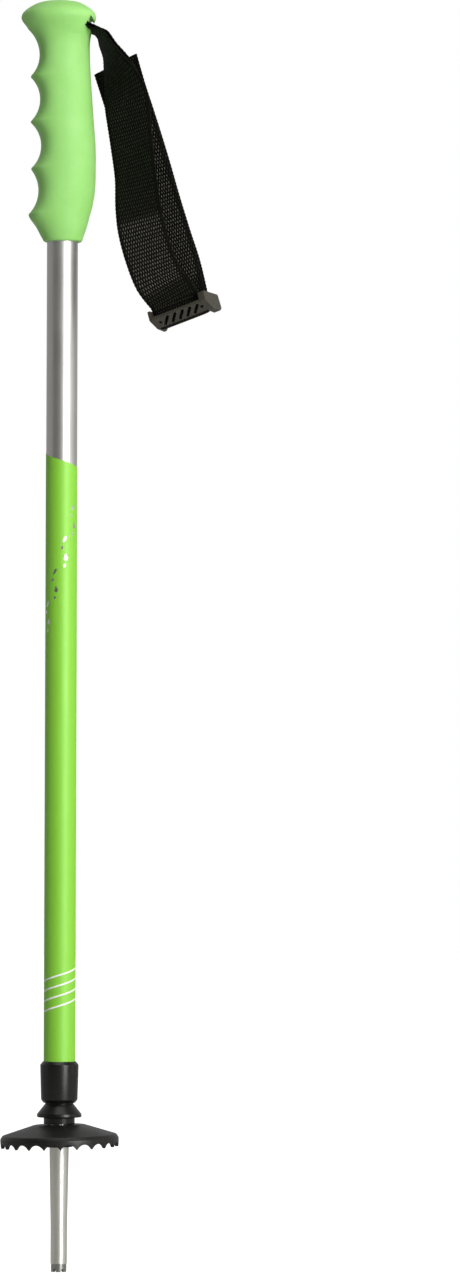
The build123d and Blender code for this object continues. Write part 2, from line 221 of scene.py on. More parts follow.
WEFT_PITCH = 1.95  # of the rows, along the webbing, in mm
YARN_PITCH = 0.74  # of the warp yarns, across it
# Over the dark edge the painted yarn highlights fade out.
SELVAGE = (1.6, 2.4)  # width of the dark edge, and where the weave has its full contrast
WEB_WIDTH = 28.0
WEB = 1.45  # thickness


def webbing_fabric(name, painted_light_band):
    """Black polyester webbing with painted highlights on its raised yarns, painted much brighter
    between two lengths as painted light.

    Its UV map runs across and along it, in millimetres.
    """
    s = Surface(name, (0.016, 0.016, 0.013), 0.5, Specular_IOR_Level=0.06)
    uv = s.add("ShaderNodeSeparateXYZ", Vector=s.add("ShaderNodeTexCoord").outputs["UV"])
    across, along = uv.outputs["X"], uv.outputs["Y"]
    yarn = s.maths("DIVIDE", across, YARN_PITCH)
    odd = s.maths("PINGPONG", s.maths("FLOOR", yarn), 1.0)
    rib = s.maths("ADD", s.maths("DIVIDE", along, 2 * WEFT_PITCH), s.maths("MULTIPLY", odd, 0.5))
    float_top = s.maths("ABSOLUTE", s.maths("SINE", s.maths("MULTIPLY", rib, pi)))
    yarn_top = s.maths("ABSOLUTE", s.maths("SINE", s.maths("MULTIPLY", yarn, pi)))
    weave = s.maths("MULTIPLY", s.maths("POWER", float_top, 3.5), s.maths("POWER", yarn_top, 0.4))
    place = s.add("ShaderNodeCombineXYZ", X=across, Y=along).outputs[0]
    highlight_patches = s.add("ShaderNodeTexNoise", Vector=place, Scale=0.28, Detail=3.0).outputs["Fac"]
    squeezed = s.maths("MULTIPLY", along, 0.35)
    drawn_out = s.add("ShaderNodeCombineXYZ", X=across, Y=squeezed).outputs[0]
    fibre = s.add("ShaderNodeTexNoise", Vector=drawn_out, Scale=7.0, Detail=2.0).outputs["Fac"]
    from_edge = s.maths("PINGPONG", across, WEB_WIDTH / 2)
    # Painted highlight: the raised tops of the weave are coloured lighter, standing in for the
    # glints of light on the yarns.
    lit = s.remap(weave, 0.42, 0.95, 0, 1)
    for share in (
        s.remap(highlight_patches, 0.35, 0.65, 0.6, 1),
        s.remap(fibre, 0.35, 0.62, 0.6, 1),
        s.remap(from_edge, *SELVAGE, 0.12, 1),
    ):
        lit = s.maths("MULTIPLY", lit, share)
    # Painted light: between the two lengths the yarn highlights are painted much brighter, a lit
    # band with short ramps at its ends.
    start, end = painted_light_band
    painted_band_rise = s.remap(along, start - 1.5, start + 1.5, 0, 1)
    painted_band = s.maths("MULTIPLY", painted_band_rise, s.remap(along, end - 4, end, 1, 0))
    yarn_highlight_colour = s.blend(painted_band, (0.06, 0.058, 0.045), (0.23, 0.218, 0.19))
    s.colour(s.blend(lit, (0.005, 0.0048, 0.0035), yarn_highlight_colour))
    s.roughness(s.remap(fibre, 0.3, 0.7, 0.55, 0.75))
    s.bump((weave, 0.3), (fibre, 0.05))
    return s.material


def print_ink(name, colour, metallic, roughness):
    """Ink or foil of the film's print, a little uneven."""
    s = Surface(name, colour, roughness, Metallic=metallic)
    grain = s.noise(3000, 2)
    s.roughness(s.remap(grain, 0.3, 0.7, roughness - 0.04, roughness + 0.06))
    s.bump((grain, 0.002))
    return s.material


# ---- Mesh helpers -------------------------------------------------------------


def finish_mesh(name, verts, faces, body, material, sharp=40):
    """A piece from points in millimetres, smooth apart from its sharp edges."""
    mesh = bpy.data.meshes.new(name)
    places = [tuple(v) for v in np.asarray(verts, float) * MM]
    mesh.from_pydata(places, [], [tuple(f) for f in faces])
    mesh.validate()
    bm = bmesh.new()
    bm.from_mesh(mesh)
    bmesh.ops.remove_doubles(bm, verts=bm.verts, dist=1e-7)
    bmesh.ops.recalc_face_normals(bm, faces=bm.faces)
    bm.to_mesh(mesh)
    bm.free()
    mesh.polygons.foreach_set("use_smooth", [True] * len(mesh.polygons))
    mesh.set_sharp_from_angle(angle=radians(sharp))
    piece = bpy.data.objects.new(name, mesh)
    bpy.context.collection.objects.link(piece)
    mesh.materials.append(material)
    if body:
        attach(piece, body)
    return piece


def grid_faces(rows, columns, first=0, round_rows=False, round_columns=False):
    """Quads of a grid of points that is stored row after row."""
    quads = []
    for i in range(rows if round_rows else rows - 1):
        for j in range(columns if round_columns else columns - 1):
            here, above = (first + k % rows * columns for k in (i, i + 1))
            c, d = j % columns, (j + 1) % columns
            quads.append([here + c, here + d, above + d, above + c])
    return quads


LATHE_STEPS = 128
LATHE_SHARP = 35  # degrees


def lathe(name, profile, body, material):
    """A closed profile of (radius, height) points, turned round the shaft's axis."""
    profile = np.array(profile, float)
    angles = np.arange(LATHE_STEPS) * 2 * pi / LATHE_STEPS
    ring = np.stack([np.cos(angles), np.sin(angles)], axis=1)
    verts = [(r * c, r * s, z) for r, z in profile for c, s in ring]
    faces = grid_faces(len(profile), LATHE_STEPS, round_rows=True, round_columns=True)
    return finish_mesh(name, verts, faces, body, material, LATHE_SHARP)


def rounded(corners):
    """A closed polyline of (x, y, radius) corners, each rounded by an arc of that radius."""
    points = []
    n = len(corners)
    for i, (x, y, radius) in enumerate(corners):
        here = np.array((x, y), float)
        if radius <= 0:
            points.append(here)
            continue
        back = np.array(corners[i - 1][:2], float) - here
        on = np.array(corners[(i + 1) % n][:2], float) - here
        back_len, on_len = np.linalg.norm(back), np.linalg.norm(on)
        back, on = back / back_len, on / on_len
        half = np.arccos(np.clip(back @ on, -1, 1)) / 2
        cut = min(radius / np.tan(half), 0.49 * back_len, 0.49 * on_len)
        radius = cut * np.tan(half)
        middle = (back + on) / np.linalg.norm(back + on)
        centre = here + middle * radius / np.sin(half)
        start, end = here + back * cut - centre, here + on * cut - centre
        swing = np.arctan2(start[0] * end[1] - start[1] * end[0], start @ end)
        count = max(3, int(abs(swing) / radians(12)) + 1)
        for k in range(count + 1):
            a = swing * k / count
            turn = np.array(((cos(a), -sin(a)), (sin(a), cos(a))))
            points.append(centre + turn @ start)
    return points


def arc(centre, radius, start, end, count):
    """Points on an arc between two angles, in degrees."""
    angles = np.radians(np.linspace(start, end, count))
    return [(centre[0] + radius * cos(a), centre[1] + radius * sin(a)) for a in angles]


def through(stops, per_span):
    """A smooth curve through rows of numbers, by centripetal Catmull-Rom spans."""
    p = np.array(stops, float)
    p = np.vstack([2 * p[0] - p[1], p, 2 * p[-1] - p[-2]])
    gaps = np.sqrt(np.linalg.norm(np.diff(p[:, :3], axis=0), axis=1)) + 1e-9
    knots = np.concatenate([[0], np.cumsum(gaps)])
    rows = []
    for i in range(1, len(p) - 2):
        t0, t1, t2, t3 = knots[i - 1 : i + 3]
        t = np.linspace(t1, t2, per_span, endpoint=False)[:, None]
        a1 = ((t1 - t) * p[i - 1] + (t - t0) * p[i]) / (t1 - t0)
        a2 = ((t2 - t) * p[i] + (t - t1) * p[i + 1]) / (t2 - t1)
        a3 = ((t3 - t) * p[i + 1] + (t - t2) * p[i + 2]) / (t3 - t2)
        b1 = ((t2 - t) * a1 + (t - t0) * a2) / (t2 - t0)
        b2 = ((t3 - t) * a2 + (t - t1) * a3) / (t3 - t1)
        rows.append(((t2 - t) * b1 + (t - t1) * b2) / (t2 - t1))
    return np.vstack(rows + [p[-2][None]])


def evenly(rows, step):
    """The same rows, interpolated so that their places are a step apart."""
    along = np.concatenate([[0], np.cumsum(np.linalg.norm(np.diff(rows[:, :3], axis=0), axis=1))])
    count = max(2, int(round(along[-1] / step)) + 1)
    at = np.linspace(0, along[-1], count)
    return np.stack([np.interp(at, along, rows[:, k]) for k in range(rows.shape[1])], axis=1), at


# ---- Floor and light ----------------------------------------------------------


POLE_MIDDLE = (0.02, 0, 0.33)


def soft_box(name, at, size, power):
    """A rectangular light at a place, turned towards the pole."""
    data = bpy.data.lights.new(name, "AREA")
    data.shape = "RECTANGLE"
    data.size, data.size_y = size
    data.energy = power
    light = bpy.data.objects.new(name, data)
    light.location = at
    light.rotation_euler = (Vector(POLE_MIDDLE) - Vector(at)).to_track_quat("-Z", "Y").to_euler()
    bpy.context.collection.objects.link(light)


ROOM_LIGHT = 0.07
PAPER_LIGHT = 0.45
ROOM_END, PAPER_START = -0.45, 0.75  # along Y of a direction, where one light turns into the other
FLOOR_ALBEDO = 0.4
FLOOR_GLOW = 0.12  # on the pole; the camera sees the floor burnt out
FLOOR_REACH = 6000
FLOOR_Z = -0.3


def floor_paper():
    """White paper that is lit from below, so it burns out to white behind the tip."""
    s = Surface("floor_paper", (FLOOR_ALBEDO,) * 3, 0.9, Emission_Color=(1, 1, 1, 1))
    seen = s.add("ShaderNodeLightPath").outputs["Is Camera Ray"]
    s.feed(s.shader.inputs["Emission Strength"], s.remap(seen, 0, 1, FLOOR_GLOW, 1.0))
    s.bump((s.noise(3, 3), 0.05))
    return s.material


def make_studio():
    """White paper behind, dark room in front, one large soft box to the right of the camera."""
    bpy.context.scene.view_settings.view_transform = "Standard"
    world = bpy.data.worlds.new("studio")
    bpy.context.scene.world = world
    world.use_nodes = True
    tree = world.node_tree
    background = tree.nodes["Background"]
    background.inputs["Color"].default_value = (1.0, 1.0, 1.0, 1)
    direction = tree.nodes.new("ShaderNodeSeparateXYZ")
    tree.links.new(tree.nodes.new("ShaderNodeTexCoord").outputs["Generated"], direction.inputs[0])
    behind = tree.nodes.new("ShaderNodeMapRange")
    behind.interpolation_type = "SMOOTHSTEP"
    tree.links.new(direction.outputs["Y"], behind.inputs["Value"])
    set_range(behind, ROOM_END, PAPER_START, ROOM_LIGHT, PAPER_LIGHT)
    seen = tree.nodes.new("ShaderNodeMath")
    seen.operation = "MAXIMUM"
    tree.links.new(tree.nodes.new("ShaderNodeLightPath").outputs["Is Camera Ray"], seen.inputs[0])
    tree.links.new(behind.outputs["Result"], seen.inputs[1])
    tree.links.new(seen.outputs[0], background.inputs["Strength"])
    soft_box("key", (1.11, -1.42, 0.62), (0.7, 1.7), 37)
    soft_box("right_fill", (1.7, -0.1, 0.6), (0.8, 1.5), 2.5)
    soft_box("top", (0.1, -0.3, 1.9), (1.2, 1.2), 8)
    soft_box("left_fill", (-1.6, -0.2, 0.5), (0.8, 1.5), 0.8)

    corners = ((-1, -1), (1, -1), (1, 1), (-1, 1))
    verts = [(x * FLOOR_REACH, y * FLOOR_REACH, FLOOR_Z) for x, y in corners]
    floor = finish_mesh("floor", verts, [(0, 1, 2, 3)], None, floor_paper())


make_studio()


# ---- Grip ---------------------------------------------------------------------

# height, front edge, back edge, half width; the front is the line along the ridges
GRIP_ROWS = [
    (531.0, -8.6, 9.2, 9.0),
    (531.4, -9.6, 10.0, 9.7),
    (533.9, -11.1, 10.9, 10.7),
    (538.6, -13.6, 12.5, 12.1),
    (544.6, -17.5, 14.1, 13.2),
    (549.4, -17.4, 15.4, 13.7),
    (557.2, -16.9, 16.7, 14.0),
    (568.0, -16.3, 17.1, 14.0),
    (580.4, -16.4, 17.0, 13.9),
    (592.5, -16.6, 16.1, 13.7),
    (605.0, -16.6, 15.2, 13.4),
    (617.0, -16.6, 14.4, 13.1),
    (627.0, -16.8, 13.9, 12.9),
    (634.6, -16.9, 13.9, 13.2),
    (639.2, -17.4, 14.6, 14.6),
    (642.3, -18.5, 15.2, 16.3),
    (644.6, -20.2, 15.9, 17.8),
    (647.0, -21.6, 16.85, 18.9),
    (649.0, -21.3, 16.75, 18.9),
    (651.0, -19.6, 15.4, 17.6),
    (653.0, -16.8, 12.9, 15.0),
    (654.6, -13.6, 10.1, 12.0),
    (655.6, -9.8, 6.9, 8.5),
    (656.0, -5.4, 3.0, 4.3),
    (656.1, -1.4, -0.9, 0.3),
]
# centre height, deepest edge, radius below and above the centre
FINGER_GROOVES = [
    (557.6, -12.55, 17.7, 17.7),
    (580.9, -11.25, 16.2, 16.2),
    (605.0, -11.85, 16.2, 16.2),
    (628.0, -12.2, 15.5, 18.6),
]


def groove_depth(z, ridge):
    """How far the front edge is drawn in from the ridge line at that height."""
    depth = 0.0
    for centre, floor, below, above in FINGER_GROOVES:
        radius = above if z > centre else below
        rise = radius * radius - (z - centre) ** 2
        if rise > 0:
            edge = floor - (radius - rise**0.5)
            depth = max(depth, edge - ridge)
    return depth


GRIP_ROW_STEP = 0.45
GRIP_STEPS = 180
# powers of the outline's cosine and sine: 1 makes an ellipse, and less squares it off
GRIP_POWER = 0.94
HEAD_POWER_DROP = 0.14  # at most, at the back of the head
HEAD_Z, HEAD_HALF_HEIGHT = 645.5, 7.5
GROOVE_POWER = 1.4  # how fast a finger groove runs out to the sides


def grip_surface():
    """Points and faces of the grip before the notch and the bore are cut."""
    rows, _ = evenly(through(GRIP_ROWS, 40), GRIP_ROW_STEP)
    steps = GRIP_STEPS
    angles = np.arange(steps) * 2 * pi / steps
    verts = []
    for z, front, back, half in rows:
        depth = groove_depth(z, front)
        middle, reach = (front + back) / 2, (back - front) / 2
        in_head = np.clip(1 - abs(z - HEAD_Z) / HEAD_HALF_HEIGHT, 0, 1)
        back_power = GRIP_POWER - HEAD_POWER_DROP * in_head**0.5
        for a in angles:
            c, s = cos(a), sin(a)
            power = back_power if c > 0 else GRIP_POWER
            x = middle + reach * np.sign(c) * abs(c) ** power
            y = half * np.sign(s) * abs(s) ** power
            x += depth * max(-c, 0.0) ** GROOVE_POWER
            verts.append((x, y, z))
    faces = grid_faces(len(rows), steps, round_columns=True)
    faces += [[first + j for j in range(steps)] for first in ((len(rows) - 1) * steps, 0)]
    return verts, faces


def cut_away(piece, name, near, far):
    """Cuts a prism out of a piece, from its outline's points at either end."""
    n = len(near)
    verts = near + far
    faces = [list(range(n)), list(range(2 * n - 1, n - 1, -1))]
    faces += [[i, (i + 1) % n, n + (i + 1) % n, n + i] for i in range(n)]
    cutter = finish_mesh(name, verts, faces, None, piece.data.materials[0])
    modifier = piece.modifiers.new(name, "BOOLEAN")
    modifier.object = cutter
    modifier.operation = "DIFFERENCE"
    modifier.solver = "EXACT"
    with bpy.context.temp_override(object=piece, active_object=piece):
        bpy.ops.object.modifier_apply(modifier=name)
    mesh = cutter.data
    bpy.data.objects.remove(cutter)
    bpy.data.meshes.remove(mesh)


NOTCH_REACH = 25.0  # wider than the head is to either side
BORE_R = 8.02
BORE_TOP = 635.8  # over the shaft's plug
BORE_OVERRUN = 1.0  # of the cut, below the grip


def build_grip():
    grip = finish_mesh("grip_skin", *grip_surface(), None, rubber_green())
    notch = rounded(
        [
            (14.6, 647.7, 0.5),
            (11.9, 642.6, 0.4),
            (14.6, 640.9, 1.2),
            (22.0, 636.0, 0),
            (22.0, 645.9, 0),
            (16.0, 645.5, 0.5),
        ]
    )
    sides = ([(x, y, z) for x, z in notch] for y in (-NOTCH_REACH, NOTCH_REACH))
    cut_away(grip, "notch", *sides)
    ring = arc((0, 0), BORE_R, 0, 360, 97)[:-1]
    ends = ([(x, y, z) for x, y in ring] for z in (GRIP_ROWS[0][0] - BORE_OVERRUN, BORE_TOP))
    cut_away(grip, "bore", *ends)
    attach(grip, "pole")
    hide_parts("grip_body")


build_grip()


# ---- Shaft --------------------------------------------------------------------

FILM_BOTTOM = 107.92
FILM_INSIDE_R = 8.02
FILM_R = 8.14
FILM_TOP_AT_SEAM = 425.5
PRINT_RISE = 16.0  # of the printed sheet's edges, once round the shaft
STRIPE_WIDTH = 0.9
STRIPE_HEIGHTS = (148.4, 143.15, 137.9, 132.65)  # at the left of the shaft
PRINT_INSIDE_R = FILM_R - 0.02
PRINT_R = FILM_R + 0.04
SHEET_SEAM_GAP, STRIPE_SEAM_GAP = 0.0004, 0.0006  # in turns, from the seam's middle
FILM_STEPS = 192
# degrees from the front towards +X, and height
FLECK_GROUPS = (
    (83.8, 409.6),
    (48.5, 393.1),
    (13.4, 376.5),
    (-22.0, 360.0),
    (-55.6, 343.3),
    (-90.9, 326.8),
)


def film_top(turn):
    """Height of the film's upper edge; turn runs from 0 to 1 round the shaft from the seam."""
    return FILM_TOP_AT_SEAM - PRINT_RISE * turn


def on_shaft(turn, radius, z):
    """A point on the shaft; turn runs from the seam at the back, through -X."""
    angle = (turn + 0.25) * 2 * pi
    return radius * cos(angle), radius * sin(angle), z


def turns_round(gap):
    """Turns from one side of the seam to the other, with a gap to it."""
    return [min(max(i / FILM_STEPS, gap), 1 - gap) for i in range(FILM_STEPS + 1)]


def patch_on_shaft(name, outline_rows, inside_r, outside_r, material):
    """A thin closed shell on the shaft between rows of (turn, z), each row from low to high."""
    rows, columns = len(outline_rows), len(outline_rows[0])
    places = [place for row in outline_rows for place in row]
    verts = [on_shaft(t, r, z) for r in (inside_r, outside_r) for t, z in places]
    half = rows * columns
    faces = grid_faces(rows, columns) + grid_faces(rows, columns, first=half)
    rim = list(range(columns))
    rim += [i * columns + columns - 1 for i in range(1, rows)]
    rim += [(rows - 1) * columns + j for j in range(columns - 2, -1, -1)]
    rim += [i * columns for i in range(rows - 2, 0, -1)]
    for a, b in zip(rim, rim[1:] + rim[:1]):
        faces.append([a, b, half + b, half + a])
    return finish_mesh(name, verts, faces, "pole", material)


def build_film():
    rows = [
        [(turn, z) for z in np.linspace(FILM_BOTTOM, film_top(turn), 12)]
        for turn in turns_round(SHEET_SEAM_GAP)
    ]
    film = patch_on_shaft("film_sleeve", rows, FILM_INSIDE_R, FILM_R, green_film())
    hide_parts("shaft_film")

    white = print_ink("stripe_ink", (0.93, 0.95, 0.90), 0.0, 0.35)
    for k, left in enumerate(STRIPE_HEIGHTS):
        rows = []
        for turn in turns_round(STRIPE_SEAM_GAP):
            low = left + PRINT_RISE * (turn - 0.25) - STRIPE_WIDTH / 2
            rows.append([(turn, low), (turn, low + STRIPE_WIDTH)])
        stripe = patch_on_shaft(f"stripe_{k + 1}", rows, PRINT_INSIDE_R, PRINT_R, white)


# outlines of the flecks in a group, in mm towards +X and up, and where each one lies
SLASH = [(-1.2, -1.4), (-0.6, -1.6), (0.2, -0.9), (1.2, 0.8), (1.1, 1.5), (0.5, 1.4), (-0.4, 0.6)]
CRUMB = [(-0.5, -0.7), (0.0, -1.0), (0.5, -0.6), (0.6, 0.3), (0.2, 0.9), (-0.4, 0.5)]
DROP = [(-1.0, -0.8), (-0.2, -1.5), (0.7, -1.1), (1.0, 0.0), (0.4, 1.0), (-0.1, 2.0), (-0.6, 0.8)]
FLECKS = [(SLASH, 0.0, 0.0), (CRUMB, -1.2, -4.1), (DROP, 0.8, -9.3), (CRUMB, 0.0, -13.4)]
FLECK_MARGIN = 1.2  # between a fleck and the film's upper edge


def build_flecks():
    foil = print_ink("fleck_foil", (0.80, 0.80, 0.78), 1.0, 0.25)
    for g, (degrees, height) in enumerate(FLECK_GROUPS):
        for k, (outline, aside, lift) in enumerate(FLECKS):
            points = [(0.0, 0.0)] + outline
            turns = [0.5 + degrees / 360 + (x + aside) / (2 * pi * FILM_R) for x, _ in points]
            heights = [height + lift + z for _, z in points]
            if max(heights) > film_top(turns[0]) - FLECK_MARGIN:
                continue
            verts = [
                on_shaft(t, r, z)
                for r in (PRINT_INSIDE_R, PRINT_R)
                for t, z in zip(turns, heights)
            ]
            n = len(points)
            rim = list(zip(range(1, n), list(range(2, n)) + [1]))
            faces = [[0, i, j] for i, j in rim] + [[n, n + i, n + j] for i, j in rim]
            faces += [[i, j, n + j, n + i] for i, j in rim]
            fleck = finish_mesh(f"fleck_{g + 1}_{k + 1}", verts, faces, "pole", foil)


build_film()
build_flecks()


# ---- Tip end ------------------------------------------------------------------

BLACK = moulded_plastic("black_plastic", (0.003, 0.0027, 0.002), (0.008, 0.0075, 0.006), 0.27)
BASKET_BLACK = moulded_plastic(
    "basket_plastic", (0.004, 0.0037, 0.003), (0.010, 0.009, 0.0075), 0.40
)


def build_collar():
    profile = rounded(
        [
            (8.02, 107.9, 0.1),
            (8.5, 107.9, 0.3),
            (9.9, 106.2, 0.9),
            (9.4, 88.2, 1.4),
            (8.2, 86.7, 0.5),
            (7.0, 86.5, 0.5),
            (11.4, 81.0, 0.6),
            (11.6, 79.3, 0.5),
            (8.0, 79.2, 0.4),
            (8.0, 75.8, 0.3),
            (5.02, 75.8, 0.1),
            (5.02, 90.0, 0.1),
            (8.02, 90.0, 0.1),
        ]
    )
    collar = lathe("collar_body", profile, "pole", BLACK)
    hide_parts("collar")


BASKET_R = 30.5
BASKET_TOP = 75.4
BASKET_TEETH = 22
TOOTH_TIP_Z = 63.6
TOOTH_VALLEY_Z = 66.4
TOOTH_PHASE = -87.3  # degrees, of one tooth's tip
BASKET_TILT = 1.3  # degrees, up towards +X
SKIRT_MARK = 60.0  # stands for the height of the teeth in the profile


def skirt_bottom(angle):
    """Height of the scalloped lower edge in that direction, in radians."""
    pitch = 2 * pi / BASKET_TEETH
    chord = 2 * BASKET_R * sin(pitch / 2)
    rise = TOOTH_VALLEY_Z - TOOTH_TIP_Z
    radius = (chord * chord / 4 + rise * rise) / (2 * rise)
    share = ((angle - radians(TOOTH_PHASE)) / pitch) % 1.0 - 0.5
    off = share * chord
    z = TOOTH_VALLEY_Z - radius + (radius * radius - off * off) ** 0.5
    return max(z, TOOTH_TIP_Z + 0.25)


def build_basket():
    profile = rounded(
        [
            (5.3, BASKET_TOP, 0.3),
            (13.0, BASKET_TOP, 3.0),
            (29.4, 70.2, 1.6),
            (30.5, 68.4, 1.0),
            (30.5, SKIRT_MARK, 0.35),
            (28.6, SKIRT_MARK, 0.35),
            (28.4, 68.0, 0.5),
            (13.0, 73.4, 1.0),
            (6.7, 73.4, 0.5),
            (6.7, 63.9, 0.3),
            (5.3, 63.9, 0.2),
        ]
    )
    steps = BASKET_TEETH * 18
    tilt = radians(BASKET_TILT)
    verts = []
    for r, z in profile:
        for j in range(steps):
            angle = j * 2 * pi / steps
            height = z - SKIRT_MARK + skirt_bottom(angle) if z < SKIRT_MARK + 1 else z
            x, y, up = r * cos(angle), r * sin(angle), height - BASKET_TOP
            tilted = BASKET_TOP + x * sin(tilt) + up * cos(tilt)
            verts.append((x * cos(tilt) - up * sin(tilt), y, tilted))
    faces = grid_faces(len(profile), steps, round_rows=True, round_columns=True)
    basket = finish_mesh("basket_disc", verts, faces, "basket", BASKET_BLACK)
    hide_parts("basket")


build_collar()
build_basket()


# ---- Where the strap lies -------------------------------------------------------


def unit(v):
    v = np.array(v, float)
    return v / np.linalg.norm(v)


Y_AXIS = np.array((0.0, 1.0, 0.0))

SLOT_FALL = radians(28.0)
SLOT_OUT = np.array((cos(SLOT_FALL), 0, -sin(SLOT_FALL)))
SLOT_UP = np.array((sin(SLOT_FALL), 0, cos(SLOT_FALL)))
SLOT_MOUTH = np.array((12.6, 0, 644.0))
ANCHOR_DEPTH = 10.5
ANCHOR = SLOT_MOUTH - SLOT_OUT * ANCHOR_DEPTH
STRAP_PIVOT_OUT = 5.0  # along the slot, from the mouth to the strap's swing axis

# how the buckle lies: its hang's lean to +X, its turn about the hang, its nod about its length
LEAN, TURN, NOD = radians(18.7), radians(26.0), radians(12.0)
HANG = np.array((sin(LEAN), 0, -cos(LEAN)))
ACROSS = np.array((cos(LEAN), 0, sin(LEAN)))
BUCKLE_LONG = ACROSS * cos(TURN) - Y_AXIS * sin(TURN)
TO_FRONT = -ACROSS * sin(TURN) - Y_AXIS * cos(TURN)
TO_REAR = HANG * sin(NOD) - TO_FRONT * cos(NOD)
BUCKLE_UP = np.cross(BUCKLE_LONG, TO_REAR)
BUCKLE_ORIGIN = np.array((57.0, -8.0, 499.3))
BAR_AT = (10.2, -4.4)


def in_buckle(rearward, upward):
    """A point halfway along the buckle: rearward and up from its front top edge."""
    return BUCKLE_ORIGIN + TO_REAR * rearward + BUCKLE_UP * upward


# ---- Webbing ------------------------------------------------------------------

ROOT_WIDTH = 24.0  # where the strap is pinched in the slot

# x, y, z, and the degrees that the webbing is turned from facing the camera
FRONT_ROUTE = [
    (19.2, -0.4, 637.6, 82),
    (22.9, -1.3, 630.9, 77),
    (27.1, -2.4, 621.1, 61),
    (30.5, -3.6, 613.1, 47),
    (33.0, -5.0, 604.3, 35),
    (35.6, -7.6, 584.1, 39),
    (38.0, -9.8, 565.1, 41),
    (39.3, -11.2, 549.4, 35),
    (41.2, -12.0, 537.5, 30),
    (45.1, -11.8, 523.2, 29),
    (50.4, -9.4, 510.7, 28),
]
REAR_ROUTE = [
    (20.5, 0.2, 638.2, 81),
    (24.3, 0.2, 631.3, 75),
    (28.8, 0.9, 622.0, 60),
    (31.6, 2.4, 612.2, 45),
    (34.0, 3.4, 602.0, 36),
    (38.8, 6.0, 584.1, 34),
    (44.3, 8.0, 565.1, 34),
    (49.2, 9.2, 549.4, 33),
    (53.0, 9.4, 537.5, 31),
    (57.0, 8.0, 523.2, 29),
    (59.8, 5.4, 511.0, 27),
]
TAIL_ROUTE = [
    (59.5, 10.7, 517.7, 28),
    (54.1, 12.5, 535.7, 31),
    (48.7, 12.1, 553.8, 33),
    (42.6, 10.2, 575.2, 34),
    (36.6, 8.9, 594.5, 34),
    (31.9, 10.0, 609.0, 34),
    (26.9, 12.4, 625.3, 32),
]


def facing(route, before, after, down=1):
    """Stops of a route as (centre, width direction) rows, given the points next to its ends."""
    places = [np.array(place, float) for place in (before, *(stop[:3] for stop in route), after)]
    rows = []
    for i, stop in enumerate(route):
        along = unit(places[i + 2] - places[i]) * down
        level = unit(np.cross(along, Y_AXIS))
        away = unit(np.cross(level, along))
        turned = radians(stop[3])
        width_direction = level * cos(turned) - away * sin(turned)
        rows.append(np.array([*places[i + 1], *width_direction, WEB_WIDTH]))
    return rows


def in_slot(points):
    """Rows for the webbing inside the slot, from (outward, upward, width), from the anchor pin."""
    return [
        np.array([*(ANCHOR + SLOT_OUT * x + SLOT_UP * y), *-Y_AXIS, width])
        for x, y, width in points
    ]


def across_buckle(points):
    """Rows for the webbing inside the buckle, from (rearward, upward) points."""
    return [np.array([*in_buckle(*p), *BUCKLE_LONG, WEB_WIDTH]) for p in points]


# No painted light band.
NO_PAINTED_LIGHT_BAND = (0, 0)  # equal heights, so nothing lies between them
FLAT_LENGTH = 24.0  # from a strip's start, where it is held flat
FREE_LENGTH = 30.0  # further along, where its bow and its waves are at their full size
ROW_RELIEF = 0.13  # height of a weft row on the face
TOOTH = 0.16  # depth of a weft row's step at the edge
STRIP_COLUMNS = 46


def web_strip(name, stops, phase=0.0, bow=0.0, painted_light_band=NO_PAINTED_LIGHT_BAND):
    """A length of woven webbing through rows of (centre, width direction, width).

    It bows by so many mm between its edges and its middle, its weave starts at the phase,
    and its yarn highlights are painted brighter between two heights, as painted light. Also
    returns its length.
    """
    rows, at = evenly(through(stops, 30), WEFT_PITCH / 4)
    centres = rows[:, :3]
    along = np.gradient(centres, axis=0)
    along /= np.linalg.norm(along, axis=1)[:, None]
    widths = rows[:, 3:6] - along * np.sum(rows[:, 3:6] * along, axis=1)[:, None]
    widths /= np.linalg.norm(widths, axis=1)[:, None]
    normals = np.cross(widths, along)
    columns = STRIP_COLUMNS
    s = np.linspace(-1, 1, columns)
    s = np.sign(s) * (1 - (1 - np.abs(s)) ** 1.06)  # closer together at the edges
    across = (s + 1) / 2 * WEB_WIDTH
    half = WEB / 2 * (1 - 0.5 * np.abs(s) ** 10)  # thinner at the edges
    verts = []
    for i in range(len(rows)):
        v = at[i] + phase
        relief = ROW_RELIEF * (abs(sin(pi * v / WEFT_PITCH)) - 0.8)
        tooth = TOOTH * abs(sin(pi * v / WEFT_PITCH)) * np.abs(s) ** 12 * np.sign(s)
        free = np.clip((at[i] - FLAT_LENGTH) / FREE_LENGTH, 0, 1)
        wave = free * (bow * (s * s - 0.4) + 0.18 * np.sin(v / 17.0 + 2.1 * s) * np.abs(s))
        aside = s * rows[i, 6] / 2 + tooth
        base = centres[i] + widths[i] * aside[:, None] + normals[i] * wave[:, None]
        rise = normals[i] * (half + relief)[:, None]
        top, bottom = base + rise, base - rise
        verts.append(np.vstack([top, bottom[::-1]]))
    loop = 2 * columns
    faces = grid_faces(len(rows), loop, round_columns=True)
    for end in (0, (len(rows) - 1) * loop):
        last = end + loop - 1
        faces += [[end + j, end + j + 1, last - 1 - j, last - j] for j in range(columns - 1)]
    start, end = (at[np.argmin(np.abs(centres[:, 2] - z))] + phase for z in painted_light_band)
    fabric = webbing_fabric(name + "_weave", (start, end))
    piece = finish_mesh(name, np.vstack(verts), faces, None, fabric, sharp=70)
    uv = piece.data.uv_layers.new(name="weave")
    spots = np.zeros((len(rows), loop, 2))
    spots[:, :, 0] = np.concatenate([across, across[::-1]])[None]
    spots[:, :, 1] = (at + phase)[:, None]
    spots = spots.reshape(-1, 2)
    loops = np.empty(len(piece.data.loops), int)
    piece.data.loops.foreach_get("vertex_index", loops)
    uv.data.foreach_set("uv", spots[loops].reshape(-1))
    return piece, at[-1]


PIN_R = 2.0
PIN_WRAP_R = PIN_R + WEB / 2
ROOT_END = ANCHOR_DEPTH + STRAP_PIVOT_OUT + 0.3


